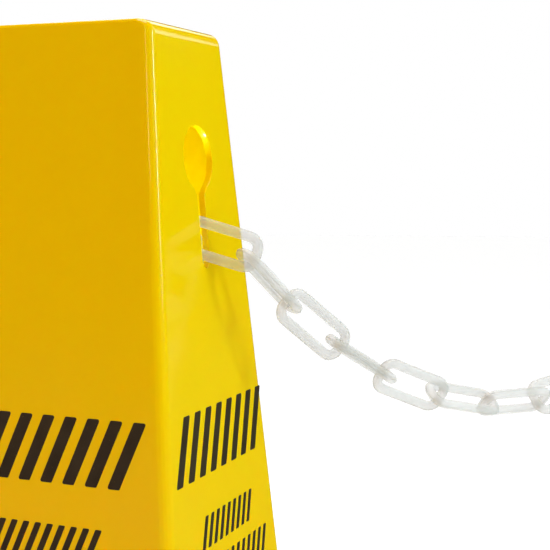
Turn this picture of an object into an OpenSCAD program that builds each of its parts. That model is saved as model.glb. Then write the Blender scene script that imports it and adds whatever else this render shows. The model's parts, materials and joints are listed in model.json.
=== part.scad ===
// Tall four-sided floor safety cone: one hollow plastic moulding, open underneath, with a keyhole high in each
// of two opposite sides, and a plastic barrier chain whose first links are dropped into one keyhole.
// Origin: centre of the footprint, on the floor. +Z is up. The keyholes face +X and -X, the front faces -Y.

/* [Cone body] */
// Height of the cone
cone_h = 914; // [900:2:930]
// Width of the top along X, measured to the flat sides
top_x = 126; // [122:1:130]
// Width of the top along Y, measured to the flat sides
top_y = 98; // [94:1:102]
// Width of the body at floor level, the same both ways
base_w = 274; // [268:1:280]
// Thickness of every wall
wall = 4.2; // [3.8:0.1:4.6]
// Radius of the upright corners at the top
corner_top_r = 6.4; // [6:0.2:8]
// Radius of the upright corners at the foot
corner_foot_r = 11.2; // [9:0.2:14]
// Radius of the top edges that run along Y
edge_x_r = 10; // [8:0.5:12]
// Radius of the top edges that run along X
edge_y_r = 3; // [2:0.5:5]

/* [Foot] */
// Width of the square foot over its rim
foot_w = 311; // [305:1:320]
// Height of the foot's ledge above the floor
foot_h = 16; // [14:1:20]
// Radius of the foot's corners
foot_corner_r = 26; // [20:1:32]
// Radius of the edge round the ledge
foot_edge_r = 3; // [2:0.5:4]
// Height of the slope where the body meets the ledge
cove_h = 12; // [8:1:16]
// Height of the relief arch in the middle of each rim
arch_h = 8; // [5:0.5:9]
// Radius of the relief arch
arch_r = 460; // [400:20:600]

/* [Keyhole] */
// Distance from the top down to the centre of the round hole
key_below_top = 80.3; // [78:0.1:84]
// Radius of the round hole
key_r = 20; // [19:0.5:21]
// Width of the slot
slot_w = 10; // [9.6:0.2:11]
// Distance from the hole's centre down to the neck, where the slot starts
neck_drop = 22.5; // [21.5:0.5:23]
// Distance from the hole's centre down to the bottom of the slot
slot_drop = 67.6; // [64:0.1:70]

/* [Chain link] */
// Overall length of a link
link_l = 56; // [55:0.5:57]
// Overall width of a link
link_w = 25.6; // [25.4:0.1:26.6]
// Diameter of the bar that a link is made of
bar_d = 6.5; // [6:0.1:6.6]
// Radius of a link's corners, at the middle of the bar
link_corner_r = 7; // [6:0.5:8]
// Free play between two links
link_gap = 0.5; // [0.4:0.1:0.8]

/* [Chain run] */
// Compass heading of the first link, from +X toward +Y
first_heading = 22; // [18:1:23]
// Downward slope of the first link, which the slot holds
first_slope = 17; // [14:1:20]
// Height of the anchor link's upper bar above the bottom of the slot
anchor_rise = 20; // [19:0.1:21]
// How far the second link hangs below the first link's middle line
second_drop = 1.6; // [1:0.1:1.8]
// Compass heading of the rest of the chain
run_heading = 46; // [38:1:48]
// Parameter of the catenary that the chain hangs in: smaller sags more sharply
sag_a = 208; // [190:2:230]
// Length of chain from the first link to the lowest point
sag_length = 257; // [247:1:262]
// Twist of the chain about its own length, in degrees, which grows with the square of the link number
twist_gain = 1.2; // [0:0.1:1.3]

/* [Hidden] */
$fn = 64;
hull_fn = 32;
// How far forms that are joined or cut run into each other
overlap = 1;
// Smallest rounding of the hollow's inner edges
inner_edge_r = 2.4;
// Length of the tool that cuts a keyhole through one wall
through = 60;

cone_yellow = [0.96, 0.82, 0.02];
chain_white = [0.93, 0.92, 0.89];

// Half widths of the body's flat sides at a height above the floor
function half_x(z) = base_w / 2 - (base_w - top_x) / 2 * z / cone_h;
function half_y(z) = base_w / 2 - (base_w - top_y) / 2 * z / cone_h;
// Lean of the keyhole walls from the vertical
lean_x = atan((base_w - top_x) / 2 / cone_h);

// The keyhole's centre, the bottom of its slot, and where the sides of the funnel run into the round hole
key_z = cone_h - key_below_top;
slot_floor_z = key_z - slot_drop * cos(lean_x);
neck_reach = norm([slot_w / 2, neck_drop]);
funnel_angle = acos(key_r / neck_reach) - atan2(neck_drop, slot_w / 2);

// Half-length and half-width of a link's centre line
bar_r = bar_d / 2;
half_l = link_l / 2 - bar_r;
half_w = link_w / 2 - bar_r;
// Where the next link's bar lies on a link's middle line
seat_l = half_l - bar_d - link_gap;
pitch = half_l + seat_l;
// Extra play at both ends of the first link, which turns a corner in the slot
first_play = 0.6;

// The anchor link's upper bar lies just behind the wall, across the slot
anchor_z = slot_floor_z + anchor_rise;
behind_wall = (wall + link_gap + bar_r + 0.4) / cos(lean_x);
slot_mid_x = half_x(anchor_z) - wall / 2;
anchor_x = half_x(anchor_z) - behind_wall;
anchor_bar = [anchor_x, -(slot_mid_x - anchor_x) * tan(first_heading), anchor_z];

// Direction of a link: an odd link stands on edge and an even link lies flat, before the twist
function link_heading(i) = i == 1 ? first_heading : run_heading;
function link_slope(i) = i == 1 ? first_slope : atan((sag_length - (i - 1) * pitch) / sag_a);
function link_turn(i) = (i % 2 == 1 ? 90 : 0) + twist_gain * pow(i - 1, 2);
function along(heading, slope) = [cos(heading) * cos(slope), sin(heading) * cos(slope), -sin(slope)];
function upward(heading, slope) = [cos(heading) * sin(slope), sin(heading) * sin(slope), cos(slope)];
function link_dir(i) = along(link_heading(i), link_slope(i));

// The chain bends at the bars of the flat links: their own ends, and the seats of the links on edge
function reach(i) = i == 1 ? seat_l - first_play : i % 2 == 0 ? half_l : seat_l;
function link_centre(i) =
    i == 1 ? anchor_bar + reach(1) * link_dir(1)
    : i == 2 ? link_centre(1) + reach(1) * link_dir(1) - second_drop * upward(first_heading, first_slope)
               + reach(2) * link_dir(2)
    : link_centre(i - 1) + reach(i - 1) * link_dir(i - 1) + reach(i) * link_dir(i);

// ---- Cone body ----

// One corner of the body seen from above, as a disc inset from the flat sides
module corner_disc(z, inset, r) {
    translate([half_x(z) - inset - r, half_y(z) - inset - r, z])
        cylinder(r = r, h = overlap, $fn = hull_fn);
}

// The rounded top of one corner: balls along the large edge radius, shrinking to the small one
module corner_cap(inset) {
    steps = 5;
    big = edge_x_r - inset;
    for (k = [0:steps]) {
        arc = 90 * k / steps;
        r = corner_top_r + (edge_y_r - corner_top_r) * k / steps - inset;
        ball_r = max(r, inner_edge_r);
        translate([half_x(cone_h) - inset - big + (big - ball_r) * cos(arc),
                   half_y(cone_h) - inset - ball_r,
                   cone_h - inset - big + (big - ball_r) * sin(arc)])
            sphere(r = ball_r, $fn = hull_fn);
    }
}

module four_corners() {
    for (mx = [0, 1], my = [0, 1])
        mirror([mx, 0, 0]) mirror([0, my, 0]) children();
}

// The body's solid form, inset by a wall thickness for its hollow
module body_form(inset, z_low) {
    hull() {
        four_corners() corner_disc(z_low, inset, corner_foot_r - inset);
        four_corners() corner_cap(inset);
    }
}

// A corner of the foot with a soft upper edge
module foot_corner(inset, top, edge) {
    r = foot_corner_r - inset;
    translate([foot_w / 2 - foot_corner_r, foot_w / 2 - foot_corner_r, 0])
        rotate_extrude($fn = hull_fn)
            union() {
                square([r, top - edge]);
                square([r - edge, top]);
                translate([r - edge, top - edge]) circle(r = edge, $fn = hull_fn / 2);
            }
}

module foot_form() {
    hull() four_corners() foot_corner(0, foot_h, foot_edge_r);
}

module foot_hollow() {
    translate([0, 0, -overlap])
        hull() four_corners() foot_corner(wall, foot_h - wall + overlap, inner_edge_r);
}

// The slope between the body and the ledge
module cove() {
    spread = cove_h / 2;
    hull() {
        four_corners() corner_disc(foot_h + cove_h, overlap, corner_foot_r - overlap);
        four_corners() corner_disc(foot_h - overlap, -spread, corner_foot_r + spread);
    }
}

// The keyhole outline: Y across, X up the wall from the centre of the round hole
module keyhole_outline() {
    touch = (key_r - overlap) * [sin(funnel_angle), cos(funnel_angle)];
    union() {
        circle(r = key_r);
        polygon([[touch.x, touch.y], [-neck_drop, slot_w / 2], [-neck_drop, -slot_w / 2],
                 [touch.x, -touch.y], [0, 0]]);
        translate([-slot_drop + slot_w / 2, -slot_w / 2]) square([slot_drop - slot_w / 2, slot_w]);
        translate([-slot_drop + slot_w / 2, 0]) circle(r = slot_w / 2);
    }
}

// A keyhole cut square through the leaning wall on the +X side
module keyhole_cut() {
    translate([half_x(key_z), 0, key_z])
        rotate([0, 90 - lean_x, 0])
            rotate([0, 0, 180])
                translate([0, 0, -through / 2])
                    linear_extrude(height = through) keyhole_outline();
}

// A shallow arch through both rims, along X
module arch_cut() {
    translate([-foot_w, 0, arch_h - arch_r])
        rotate([0, 90, 0]) cylinder(r = arch_r, h = 2 * foot_w, $fn = 180);
}

module cone_body() {
    color(cone_yellow)
        difference() {
            union() {
                body_form(0, foot_h / 2);
                foot_form();
                cove();
            }
            body_form(wall, -2 * overlap);
            foot_hollow();
            keyhole_cut();
            mirror([1, 0, 0]) keyhole_cut();
            arch_cut();
            rotate([0, 0, 90]) arch_cut();
        }
}

// ---- Chain ----

// A link about its own centre: long along X, wide along Y
module link() {
    long_straight = half_l - link_corner_r;
    wide_straight = half_w - link_corner_r;
    for (side = [-1, 1]) {
        translate([-long_straight, side * half_w, 0])
            rotate([0, 90, 0]) cylinder(r = bar_r, h = 2 * long_straight);
        translate([side * half_l, wide_straight, 0])
            rotate([90, 0, 0]) cylinder(r = bar_r, h = 2 * wide_straight);
    }
    for (quarter = [[1, 1, 0], [-1, 1, 90], [-1, -1, 180], [1, -1, 270]])
        translate([quarter[0] * long_straight, quarter[1] * wide_straight, 0])
            rotate([0, 0, quarter[2]])
                rotate_extrude(angle = 90)
                    translate([link_corner_r, 0]) circle(r = bar_r);
}

// The link inside the cone, hanging behind the slot with its upper bar across it
module anchor_link() {
    hang = along(0, 90 - lean_x);
    color(chain_white)
        translate(anchor_bar + half_l * hang)
            rotate([0, 90 - lean_x, 0])
                link();
}

module chain_link(i) {
    color(chain_white)
        translate(link_centre(i))
            rotate([0, 0, link_heading(i)])
                rotate([0, link_slope(i), 0])
                    rotate([link_turn(i), 0, 0])
                        link();
}

cone_body();
anchor_link();
chain_link(1);  // chain_link_01
chain_link(2);  // chain_link_02
chain_link(3);  // chain_link_03
chain_link(4);  // chain_link_04
chain_link(5);  // chain_link_05
chain_link(6);  // chain_link_06
chain_link(7);  // chain_link_07
chain_link(8);  // chain_link_08
chain_link(9);  // chain_link_09
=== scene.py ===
"""Looks of the wet floor sign: a yellow moulded cone with a barrier chain hanging from its keyhole.
All lengths are metres, in the CAD model's own frame: the floor is at Z 0, the chain's keyhole faces +X and
the front faces -Y."""

import json
import math

import bmesh
import bpy
from mathutils import Euler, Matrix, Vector
from mathutils.bvhtree import BVHTree


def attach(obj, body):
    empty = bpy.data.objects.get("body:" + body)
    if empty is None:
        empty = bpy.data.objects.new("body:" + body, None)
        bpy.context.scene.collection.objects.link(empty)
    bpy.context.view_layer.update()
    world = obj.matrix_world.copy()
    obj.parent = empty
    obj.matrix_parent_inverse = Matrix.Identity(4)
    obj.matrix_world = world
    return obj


CONE = "cone_body"
LINKS = ["anchor_link"] + [f"chain_link_{i:02d}" for i in range(1, 10)]

# ---------------------------------------------------------------- camera
CAMERA_AT = (0.3913, -0.6680, 0.8275)
CAMERA_PITCH, CAMERA_YAW = 84.90, 22.12
CAMERA_LENS, CAMERA_SENSOR = 78.4, 36.0

# ---------------------------------------------------------------- studio
# The soft boxes all aim at the upper body. Azimuth 0 is in front (-Y), and 90 is on the chain's side (+X).
LIT_POINT = (0, 0, 0.75)
# Name, azimuth, elevation, distance, width, height, radiance, colour, and whether gloss mirrors it
SOFTBOXES = [
    ("key_side", 78, 18, 2.4, 1.2, 1.5, 2.4, (0.48, 1.0, 1.0), False),
    ("strip_high", 99, 19, 2.4, 0.20, 0.74, 43.0, (0.74, 0.98, 1.0), True),
    ("strip_low", 99, 7, 2.4, 0.20, 0.26, 16.0, (0.74, 0.98, 1.0), True),
    ("strip_front", 17, 22, 2.4, 0.08, 0.60, 11.0, (1.0, 0.85, 0.70), True),
    ("top_card", 150, 26, 2.6, 0.9, 0.9, 2.2, (1.0, 1.0, 1.0), True),
    ("front_soft", 4, 34, 2.4, 0.9, 1.0, 3.5, (1.0, 0.46, 0.24), False),
    ("left_fill", -75, 30, 2.8, 1.4, 1.4, 2.2, (1.0, 0.95, 0.88), True),
    ("back_fill", 205, 40, 3.0, 1.8, 1.4, 3.0, (0.97, 1.0, 0.98), True),
]
# A lamp inside the cone, facing up, for the light that reaches the hollow
HOLLOW_LAMP_AT, HOLLOW_LAMP_SIZE = (0, 0, 0.5), 0.11
HOLLOW_LAMP_POWER, HOLLOW_LAMP_COLOUR = 1.8, (0.42, 1.0, 1.0)
OVERHEAD_STRENGTH, OVERHEAD_SPREAD, OVERHEAD_AT = 2.9, math.radians(50), (0, 0, 4)
# The white surround as a light, and as the camera sees it
SURROUND_LIGHT, SURROUND_SEEN = 0.012, 1.0
FLOOR_RADIUS, FLOOR_RINGS, FLOOR_SIDES = 14.0, 10, 96
# How far from the object the floor starts to fade into white and has done so, and how strongly it then glows
FLOOR_FADE = (0.7, 2.3)
FLOOR_GLOW = 0.17

# ---------------------------------------------------------------- cone
# The rounding of the keyholes' cut edges, and the least angle that counts as an edge
CONE_EDGE, EDGE_ANGLE = 0.0009, math.radians(50)
WELD_DISTANCE = 0.000002
# How much more the large faces count than the small ones in the smooth shading
SHADE_WEIGHT = 60

# ---------------------------------------------------------------- printed rows
# Height of the bottom and top of each row, half its width, number of bars, width of a bar, its corner radius
ROWS = [
    (0.6424, 0.6820, 0.0654, 8, 0.0082, 0.00110),
    (0.5988, 0.6182, 0.0389, 9, 0.0043, 0.00066),
    (0.5700, 0.5900, 0.0580, 13, 0.0043, 0.00066),
]
ROW_SLANT = math.radians(22)
INK_PROUD, INK_SUNK, INK_BEVEL = 0.00012, 0.00015, 0.00012
# The direction that each printed wall faces, and how far its rows are off the wall's middle line
PRINTS = {
    "print_front": ((0, -1, 0), 0.004),
    "print_right": ((1, 0, 0), 0.002),
    "print_back": ((0, 1, 0), 0.002),
    "print_left": ((-1, 0, 0), 0.002),
}

# ---------------------------------------------------------------- chain
# The corner radius of a link's outline
LINK_CORNER = 0.01025
# The mould line round a link: how far it stands out, how deep it is sunk, and half its width at foot and crest
RIB_PROUD, RIB_SUNK, RIB_HALF = 0.00022, 0.0003, 0.00035
RIB_CREST = RIB_HALF * 0.3
# Its section, as pairs: outward from the link, and to the side
RIB_SECTION = [(-RIB_SUNK, -RIB_HALF), (RIB_PROUD, -RIB_CREST), (RIB_PROUD, RIB_CREST), (-RIB_SUNK, RIB_HALF)]
# Passes of the power iteration that finds a link's axes
AXIS_PASSES = 40

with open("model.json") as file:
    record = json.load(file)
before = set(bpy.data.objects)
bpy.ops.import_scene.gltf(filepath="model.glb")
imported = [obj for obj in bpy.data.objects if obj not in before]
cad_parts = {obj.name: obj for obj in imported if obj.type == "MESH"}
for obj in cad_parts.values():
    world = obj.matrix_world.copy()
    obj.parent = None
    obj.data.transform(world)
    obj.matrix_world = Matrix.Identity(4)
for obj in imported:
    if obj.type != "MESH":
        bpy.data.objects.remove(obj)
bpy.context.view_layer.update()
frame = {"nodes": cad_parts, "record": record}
scene = bpy.context.scene
nodes = frame["nodes"]


# ================================================================ helpers
def link_object(obj):
    scene.collection.objects.link(obj)
    return obj


def mesh_object(name, bm, material):
    bmesh.ops.recalc_face_normals(bm, faces=bm.faces)
    mesh = bpy.data.meshes.new(name)
    bm.to_mesh(mesh)
    bm.free()
    obj = link_object(bpy.data.objects.new(name, mesh))
    mesh.materials.append(material)
    return obj


def bridge(bm, near, far):
    """A band of four-sided faces between two closed rings of vertices."""
    for i in range(len(near)):
        j = (i + 1) % len(near)
        bm.faces.new((near[i], near[j], far[j], far[i]))


def rounded(corners, radius, steps=4):
    """The outline of a polygon with its corners rounded, each by an arc of that many steps."""
    points = []
    for i, corner in enumerate(corners):
        before = (corners[i - 1] - corner).normalized()
        after = (corners[(i + 1) % len(corners)] - corner).normalized()
        half = before.angle(after) / 2
        centre = corner + (before + after).normalized() * (radius / math.sin(half))
        start = corner + before * (radius / math.tan(half)) - centre
        end = corner + after * (radius / math.tan(half)) - centre
        sweep = start.angle(end)
        for step in range(steps + 1):
            t = step / steps
            arc = math.sin((1 - t) * sweep) * start + math.sin(t * sweep) * end
            points.append(centre + arc / math.sin(sweep))
    return points


class Paint:
    """A material's node tree, with short calls to add and join nodes.
    A value that one node hands to another is a pair: the node and the name of its output."""

    # Places of the two colours and of the result on a Mix node that mixes colours
    MIX_FIRST, MIX_SECOND, MIX_RESULT = 6, 7, 2

    def __init__(self, name):
        self.material = bpy.data.materials.new(name)
        self.material.use_nodes = True
        self.tree = self.material.node_tree
        self.tree.nodes.clear()
        self.out = self.add("ShaderNodeOutputMaterial")
        self.shader = self.add("ShaderNodeBsdfPrincipled")
        self.join((self.shader, "BSDF"), self.out, "Surface")
        self.coords = self.add("ShaderNodeTexCoord")

    def add(self, kind, **values):
        node = self.tree.nodes.new(kind)
        for key, value in values.items():
            setattr(node, key, value)
        return node

    def join(self, value, target, socket):
        node, output = value
        self.tree.links.new(node.outputs[output], target.inputs[socket])

    def set(self, **values):
        """Sets sockets of the shader to values that are the same all over the surface."""
        for key, value in values.items():
            self.shader.inputs[key.replace("_", " ")].default_value = value

    def feed(self, value, socket):
        self.join(value, self.shader, socket)

    def noise(self, scale, detail=3.0, roughness=0.5, stretch=(1, 1, 1), distortion=0.0):
        mapping = self.add("ShaderNodeMapping")
        mapping.inputs["Scale"].default_value = stretch
        self.join((self.coords, "Object"), mapping, "Vector")
        node = self.add("ShaderNodeTexNoise")
        node.inputs["Scale"].default_value = scale
        node.inputs["Detail"].default_value = detail
        node.inputs["Roughness"].default_value = roughness
        node.inputs["Distortion"].default_value = distortion
        self.join((mapping, "Vector"), node, "Vector")
        return node, "Fac"

    def remap(self, value, low, high, to_low=0.0, to_high=1.0, kind="LINEAR"):
        node = self.add("ShaderNodeMapRange", interpolation_type=kind)
        limits = {"From Min": low, "From Max": high, "To Min": to_low, "To Max": to_high}
        for socket, limit in limits.items():
            node.inputs[socket].default_value = limit
        self.join(value, node, "Value")
        return node, "Result"

    def math(self, operation, first, second):
        node = self.add("ShaderNodeMath", operation=operation)
        for index, value in enumerate((first, second)):
            if isinstance(value, tuple):
                self.join(value, node, index)
            else:
                node.inputs[index].default_value = value
        return node, "Value"

    def mix(self, factor, first, second):
        """Mixes two colours, each given as red, green and blue or as another node's value."""
        node = self.add("ShaderNodeMix", data_type="RGBA")
        self.join(factor, node, "Factor")
        for socket, value in ((self.MIX_FIRST, first), (self.MIX_SECOND, second)):
            if isinstance(value[0], bpy.types.Node):
                self.join(value, node, socket)
            else:
                node.inputs[socket].default_value = (*value, 1)
        return node, self.MIX_RESULT

    def height(self):
        node = self.add("ShaderNodeSeparateXYZ")
        self.join((self.coords, "Object"), node, "Vector")
        return node, "Z"

    def bump(self, value, distance, strength=0.5, below=None):
        """Bump from a height, on top of the bump below it where there is one."""
        node = self.add("ShaderNodeBump")
        node.inputs["Strength"].default_value = strength
        node.inputs["Distance"].default_value = distance
        self.join(value, node, "Height")
        if below is not None:
            self.join(below, node, "Normal")
        return node, "Normal"


# ================================================================ materials
def cone_plastic():
    """Yellow polyolefin that a little light passes through, with flow mottling, streaks and drag marks, and
    with scuffs and grime near the foot."""
    warm, cool, pale = (0.860, 0.520, 0.0), (0.845, 0.530, 0.0), (0.890, 0.557, 0.0)
    scuff_brown, grime_brown = (0.33, 0.23, 0.035), (0.40, 0.27, 0.05)
    paint = Paint("moulded_yellow")
    paint.set(IOR=1.5, Specular_IOR_Level=0.38)
    paint.set(Subsurface_Weight=0.30, Subsurface_Scale=0.0032, Subsurface_Radius=(1.0, 0.55, 0.05))
    # colour
    mottle = paint.remap(paint.noise(5.0, 4.0, 0.55), 0.35, 0.65)
    streak = paint.remap(paint.noise(26.0, 3.0, 0.6, (1, 1, 0.12), 0.4), 0.42, 0.62)
    body = paint.mix(mottle, warm, cool)
    body = paint.mix(paint.math("MULTIPLY", streak, 0.18), body, pale)
    near_foot = paint.remap(paint.height(), 0.005, 0.16, 1.0, 0.0)
    rubbed = paint.remap(paint.noise(60.0, 6.0, 0.7, (1, 1, 0.45), 0.8), 0.56, 0.66)
    scuff = paint.math("MULTIPLY", paint.math("POWER", near_foot, 1.6), rubbed)
    body = paint.mix(paint.math("MULTIPLY", scuff, 0.42), body, scuff_brown)
    grime = paint.math("MULTIPLY", paint.math("POWER", near_foot, 3.0), 0.20)
    paint.feed(paint.mix(grime, body, grime_brown), "Base Color")
    # gloss
    drag = paint.remap(paint.noise(240.0, 3.0, 0.7, (1, 1, 0.03), 0.2), 0.55, 0.78)
    rough = paint.remap(paint.noise(9.0, 5.0, 0.6), 0.3, 0.7, 0.10, 0.16)
    rough = paint.math("ADD", rough, paint.math("MULTIPLY", drag, 0.04))
    rough = paint.math("ADD", rough, paint.math("MULTIPLY", scuff, 0.30))
    paint.feed(rough, "Roughness")
    # relief: slack in the walls, orange peel, drag marks
    slack = paint.bump(paint.noise(14.0, 2.0), 0.0010, 0.35)
    peel = paint.bump(paint.noise(420.0), 0.00008, below=slack)
    paint.feed(paint.bump(drag, 0.00002, below=peel), "Normal")
    return paint.material


def chain_plastic():
    """Milky white unpigmented plastic: satin, mostly see-through, with a fine grain and cloudy patches."""
    clear, cloudy = (0.55, 0.525, 0.50), (0.63, 0.60, 0.575)
    paint = Paint("milky_white")
    paint.set(IOR=1.46, Specular_IOR_Level=0.2, Alpha=0.30)
    paint.set(Subsurface_Weight=0.5, Subsurface_Scale=0.003, Subsurface_Radius=(1.0, 0.9, 0.75))
    patches = paint.remap(paint.noise(70.0, 4.0, 0.6), 0.35, 0.68)
    paint.feed(paint.mix(patches, clear, cloudy), "Base Color")
    paint.feed(paint.remap(paint.noise(160.0, 3.0, 0.6), 0.3, 0.7, 0.30, 0.42), "Roughness")
    paint.feed(paint.bump(paint.noise(900.0, 2.0), 0.00005), "Normal")
    return paint.material


def print_ink():
    """Near-black printing ink, satin, rubbed away in specks."""
    dark, light, rubbed = (0.034, 0.020, 0.008), (0.048, 0.029, 0.012), (0.35, 0.24, 0.01)
    paint = Paint("black_ink")
    paint.set(IOR=1.5, Specular_IOR_Level=0.35)
    specks = paint.remap(paint.noise(900.0, 4.0, 0.7), 0.66, 0.74)
    tone = paint.mix(paint.remap(paint.noise(55.0), 0.3, 0.7), dark, light)
    paint.feed(paint.mix(paint.math("MULTIPLY", specks, 0.5), tone, rubbed), "Base Color")
    paint.feed(paint.remap(paint.noise(80.0), 0.3, 0.7, 0.36, 0.5), "Roughness")
    paint.feed(paint.bump(paint.noise(1400.0, 2.0), 0.00003), "Normal")
    return paint.material


def floor_paint():
    """Pale, matt studio floor with a barely uneven tone, which fades into white away from the object."""
    dull, bright, far_white = (0.78, 0.78, 0.775), (0.795, 0.795, 0.79), (0.91, 0.91, 0.905)
    mirrored_grey = (0.03, 0.03, 0.03)
    paint = Paint("studio_floor")
    paint.set(Roughness=0.9, Specular_IOR_Level=0.1, Emission_Color=(1, 1, 1, 1))
    distance = paint.add("ShaderNodeVectorMath", operation="LENGTH")
    paint.join((paint.coords, "Object"), distance, 0)
    far = paint.remap((distance, "Value"), *FLOOR_FADE, kind="SMOOTHSTEP")
    near = paint.mix(paint.remap(paint.noise(1.5), 0.3, 0.7), dull, bright)
    paint.feed(paint.mix(far, near, far_white), "Base Color")
    paint.feed(paint.math("MULTIPLY", far, FLOOR_GLOW), "Emission Strength")
    # gloss on the object mirrors a dark studio, not the floor
    path = paint.add("ShaderNodeLightPath")
    dark = paint.add("ShaderNodeBsdfDiffuse")
    dark.inputs["Color"].default_value = (*mirrored_grey, 1)
    either = paint.add("ShaderNodeMixShader")
    paint.join((path, "Is Glossy Ray"), either, 0)
    paint.join((paint.shader, "BSDF"), either, 1)
    paint.join((dark, "BSDF"), either, 2)
    paint.join((either, "Shader"), paint.out, "Surface")
    return paint.material


# ================================================================ camera, light, floor
def make_camera():
    data = bpy.data.cameras.new("camera")
    data.lens, data.sensor_width = CAMERA_LENS, CAMERA_SENSOR
    data.dof.use_dof = False
    camera = link_object(bpy.data.objects.new("camera", data))
    camera.location = CAMERA_AT
    camera.rotation_euler = Euler((math.radians(CAMERA_PITCH), 0, math.radians(CAMERA_YAW)))
    scene.camera = camera


def softbox(name, azimuth, elevation, distance, width, tall, radiance, colour, mirrored):
    """A rectangular area light. Its power is set from its radiance."""
    data = bpy.data.lights.new(name, "AREA")
    data.shape, data.size, data.size_y = "RECTANGLE", width, tall
    data.energy = radiance * math.pi * width * tall
    data.color = colour
    lamp = link_object(bpy.data.objects.new(name, data))
    round_by, up_by = math.radians(azimuth), math.radians(elevation)
    flat = math.cos(up_by)
    back = Vector((math.sin(round_by) * flat, -math.cos(round_by) * flat, math.sin(up_by)))
    lamp.location = Vector(LIT_POINT) + back * distance
    lamp.rotation_mode = "QUATERNION"
    lamp.rotation_quaternion = back.to_track_quat("Z", "Y")
    lamp.visible_glossy = mirrored


def hollow_lamp():
    data = bpy.data.lights.new("hollow_glow", "AREA")
    data.shape, data.size = "DISK", HOLLOW_LAMP_SIZE
    data.energy, data.color = HOLLOW_LAMP_POWER, HOLLOW_LAMP_COLOUR
    lamp = link_object(bpy.data.objects.new("hollow_glow", data))
    lamp.location, lamp.rotation_euler = HOLLOW_LAMP_AT, (math.pi, 0, 0)
    lamp.visible_camera = False


def overhead_light():
    data = bpy.data.lights.new("overhead", "SUN")
    data.energy, data.angle = OVERHEAD_STRENGTH, OVERHEAD_SPREAD
    link_object(bpy.data.objects.new("overhead", data)).location = OVERHEAD_AT


def make_surround():
    """A white surround that the camera sees at full strength and that hardly lights the object."""
    world = bpy.data.worlds.new("studio")
    scene.world = world
    world.use_nodes = True
    tree = world.node_tree
    tree.nodes.clear()
    out = tree.nodes.new("ShaderNodeOutputWorld")
    either = tree.nodes.new("ShaderNodeMixShader")
    path = tree.nodes.new("ShaderNodeLightPath")
    tree.links.new(path.outputs["Is Camera Ray"], either.inputs[0])
    for index, strength in ((1, SURROUND_LIGHT), (2, SURROUND_SEEN)):
        white = tree.nodes.new("ShaderNodeBackground")
        white.inputs["Color"].default_value = (1, 1, 1, 1)
        white.inputs["Strength"].default_value = strength
        tree.links.new(white.outputs[0], either.inputs[index])
    tree.links.new(either.outputs[0], out.inputs[0])


def make_floor(material):
    """A flat round floor, in rings that widen away from the object."""
    bm = bmesh.new()
    turns = [2 * math.pi * side / FLOOR_SIDES for side in range(FLOOR_SIDES)]
    rings = []
    for ring in range(1, FLOOR_RINGS + 1):
        radius = FLOOR_RADIUS * (ring / FLOOR_RINGS) ** 2
        rings.append([bm.verts.new((radius * math.cos(turn), radius * math.sin(turn), 0)) for turn in turns])
    bm.faces.new(rings[0])
    for inner, outer in zip(rings, rings[1:]):
        bridge(bm, inner, outer)
    floor = mesh_object("studio_floor", bm, material)


# ================================================================ carried-over CAD nodes
def dress(name, material, edge=None):
    """Gives a CAD node its material, and rounds its sharp edges by the width given, if any."""
    obj = nodes[name]
    obj.data.materials.clear()
    obj.data.materials.append(material)
    if edge is None:
        return
    weld = obj.modifiers.new("weld", "WELD")
    weld.merge_threshold = WELD_DISTANCE
    bevel = obj.modifiers.new("edge", "BEVEL")
    bevel.width, bevel.segments, bevel.limit_method = edge, 2, "ANGLE"
    bevel.angle_limit = EDGE_ANGLE
    bevel.use_clamp_overlap = True
    shade = obj.modifiers.new("shade", "WEIGHTED_NORMAL")
    shade.weight, shade.keep_sharp = SHADE_WEIGHT, False


# ================================================================ print
def wall_frame(surface, side, height):
    """A point on a wall's middle line at that height, and the directions across, up and out of the wall."""
    point, normal, _, _ = surface.ray_cast(Vector(side) + Vector((0, 0, height)), -Vector(side))
    out = normal.normalized()
    across = Vector((0, 0, 1)).cross(out).normalized()
    return point, across, out.cross(across).normalized(), out


def print_bar(bm, outline, middle, foot, across, up, out):
    """One bar of ink: a thin solid on the wall, sunk a hair into it, with its upper edge bevelled."""
    rings = []
    for lift, inset in ((-INK_SUNK, 0.0), (INK_PROUD * 0.5, 0.0), (INK_PROUD, INK_BEVEL)):
        points = [point + (middle - point).normalized() * inset for point in outline]
        rings.append([bm.verts.new(foot + across * point.x + up * point.y + out * lift) for point in points])
    bm.faces.new(rings[0])
    bm.faces.new(rings[-1])
    for lower, upper in zip(rings, rings[1:]):
        bridge(bm, lower, upper)


def print_rows(name, surface, side, shift, material):
    """Rows of slanted hazard bars on one wall."""
    bm = bmesh.new()
    for low, high, half, count, width, corner_radius in ROWS:
        foot, across, up, out = wall_frame(surface, side, (low + high) / 2)
        tall = (high - low) / up.z
        lean = tall * math.tan(ROW_SLANT)
        pitch = (2 * half - width - lean) / (count - 1)
        for bar in range(count):
            x = shift - half + (width + lean) / 2 + bar * pitch
            corners = [
                Vector((x + (right * width + top * lean) / 2, top * tall / 2, 0))
                for right, top in ((-1, -1), (1, -1), (1, 1), (-1, 1))
            ]
            print_bar(bm, rounded(corners, corner_radius), Vector((x, 0, 0)), foot, across, up, out)
    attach(mesh_object(name, bm, material), "cone")


# ================================================================ chain
def spread_axis(offsets, axis, square_to):
    """The direction in which points spread most about their centre, among those square to the given ones."""
    for _ in range(AXIS_PASSES):
        axis = sum((offset.dot(axis) * offset for offset in offsets), Vector())
        for other in square_to:
            axis -= other * axis.dot(other)
        axis.normalize()
    return axis


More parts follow.
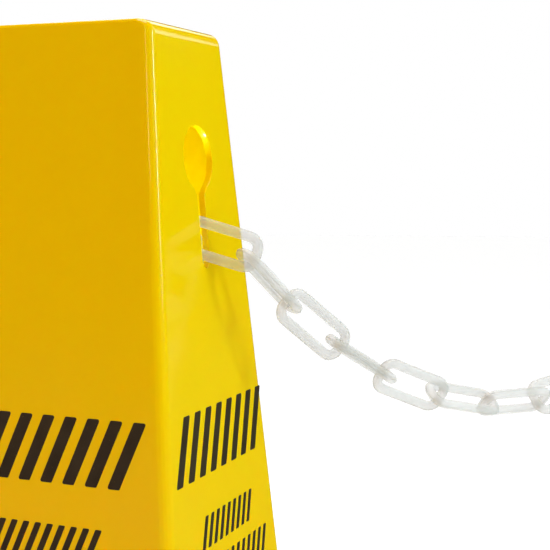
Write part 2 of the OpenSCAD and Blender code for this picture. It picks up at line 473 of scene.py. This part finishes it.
def link_axes(points):
    """A link's centre, its directions along, across and out of its plane, and half its length and width."""
    low = Vector([min(point[i] for point in points) for i in range(3)])
    high = Vector([max(point[i] for point in points) for i in range(3)])
    centre = (low + high) / 2
    offsets = [point - centre for point in points]
    along = spread_axis(offsets, max(offsets, key=lambda offset: offset.length).normalized(), [])
    across = spread_axis(offsets, along.orthogonal().normalized(), [along])
    half_length, half_width = (max(offset.dot(axis) for offset in offsets) for axis in (along, across))
    return centre, along, across, along.cross(across), half_length, half_width


def parting_line(node, body, material):
    """The fine raised line that the mould's joint leaves round the outside of a link."""
    points = [vertex.co.copy() for vertex in nodes[node].data.vertices]
    centre, along, across, normal, half_length, half_width = link_axes(points)
    corners = [
        Vector((right * half_length, top * half_width, 0))
        for right, top in ((-1, -1), (1, -1), (1, 1), (-1, 1))
    ]
    outline = rounded(corners, LINK_CORNER, 10)
    bm = bmesh.new()
    rings = []
    for i, point in enumerate(outline):
        tangent = (outline[(i + 1) % len(outline)] - outline[i - 1]).normalized()
        outward = Vector((tangent.y, -tangent.x, 0))
        ring = []
        for lift, side in RIB_SECTION:
            spot = point + outward * lift
            ring.append(bm.verts.new(centre + along * spot.x + across * spot.y + normal * side))
        rings.append(ring)
    for ring, following in zip(rings, rings[1:] + rings[:1]):
        bridge(bm, ring, following)
    rib = mesh_object(f"{node}_parting_line", bm, material)
    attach(rib, body)


# ================================================================ build
make_camera()
for box in SOFTBOXES:
    softbox(*box)
hollow_lamp()
overhead_light()
make_surround()
make_floor(floor_paint())

yellow, milky, ink = cone_plastic(), chain_plastic(), print_ink()
dress(CONE, yellow, CONE_EDGE)
for link in LINKS:
    dress(link, milky)

bpy.context.view_layer.update()
cone_mesh = nodes[CONE].data
cone_faces = [face.vertices for face in cone_mesh.polygons]
cone_surface = BVHTree.FromPolygons([vertex.co for vertex in cone_mesh.vertices], cone_faces)
for print_name, (side, shift) in PRINTS.items():
    print_rows(print_name, cone_surface, side, shift, ink)

body_of = {}
for body_name, members in frame["record"]["behaviour"]["bodies"].items():
    body_of.update({member: body_name for member in members})
for link in LINKS:
    parting_line(link, body_of[link], milky)

scene.view_settings.view_transform = "Standard"
scene.view_settings.look = "None"
